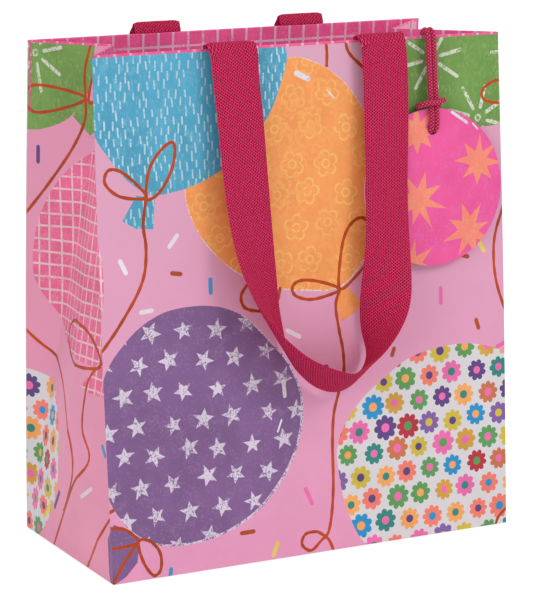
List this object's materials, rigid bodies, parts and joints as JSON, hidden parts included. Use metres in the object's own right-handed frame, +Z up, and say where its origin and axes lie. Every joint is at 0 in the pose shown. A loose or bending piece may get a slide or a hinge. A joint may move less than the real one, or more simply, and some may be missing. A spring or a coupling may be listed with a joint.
{
  "type": "gift bag",
  "caption": "Upright paper gift bag with creased side gussets, turned-in rim, two tape handles and a round tag on a doubled cord.",
  "frame": {"origin": "centre of the base, on the surface the bag stands on", "axes": "+Z up, -Y out of the front panel, which carries the tag, +X to the viewer's right when facing the front"},
  "size_m": [0.22, 0.1494, 0.2544],
  "materials": {
    "printed_paper": "smooth coated paper with a matt printed balloon pattern on pink",
    "hem_paper": "smooth coated paper printed deep pink with a pale grid",
    "grey_board": "plain grey pasteboard",
    "handle_tape": "knitted crimson pink tape",
    "braided_cord": "braided crimson pink cord",
    "tag_card": "matt card printed hot pink with coral stars"
  },
  "bodies": {
    "bag": {"front_panel": "printed_paper", "back_panel": "printed_paper", "left_gusset_front_edge": "printed_paper", "left_gusset_front_crease": "printed_paper", "left_gusset_back_edge": "printed_paper", "left_gusset_back_crease": "printed_paper", "left_base_triangle": "printed_paper", "right_gusset_front_edge": "printed_paper", "right_gusset_front_crease": "printed_paper", "right_gusset_back_edge": "printed_paper", "right_gusset_back_crease": "printed_paper", "right_base_triangle": "printed_paper", "seam_flap": "printed_paper", "base_flap_front": "printed_paper", "base_flap_back": "printed_paper", "base_flap_left": "printed_paper", "base_flap_right": "printed_paper", "base_board": "grey_board", "front_hem": "hem_paper", "back_hem": "hem_paper", "left_hem_front": "hem_paper", "left_hem_back": "hem_paper", "right_hem_front": "hem_paper", "right_hem_back": "hem_paper", "front_rim_card": "grey_board", "back_rim_card": "grey_board", "front_tail_left": "handle_tape", "front_tail_right": "handle_tape", "back_tail_left": "handle_tape", "back_tail_right": "handle_tape", "cord_tail": "braided_cord"},
    "front_handle": {"front_handle": "handle_tape"},
    "back_handle": {"back_handle": "handle_tape"},
    "tag_cord": {"tag_cord": "braided_cord"},
    "tag": {"tag_card": "tag_card"}
  },
  "joints": [
    {"name": "front_handle_swing", "type": "hinge", "parent": "bag", "child": "front_handle", "pos_m": [0, -0.03797, 0.2522], "axis": [-1, 0, 0], "range_deg": [0, 180]},
    {"name": "back_handle_swing", "type": "hinge", "parent": "bag", "child": "back_handle", "pos_m": [0, 0.03797, 0.2522], "axis": [1, 0, 0], "range_deg": [0, 180]},
    {"name": "tag_sway", "type": "hinge", "parent": "bag", "child": "tag_cord", "pos_m": [0.0685, -0.0381, 0.2507], "axis": [0, -0.9982, 0.0599], "range_deg": [-5, 10]},
    {"name": "tag_turn", "type": "hinge", "parent": "tag_cord", "child": "tag", "pos_m": [0.0685, -0.0453, 0.205], "axis": [0, -0.9982, 0.0599], "range_deg": [-6, 6]}
  ]
}
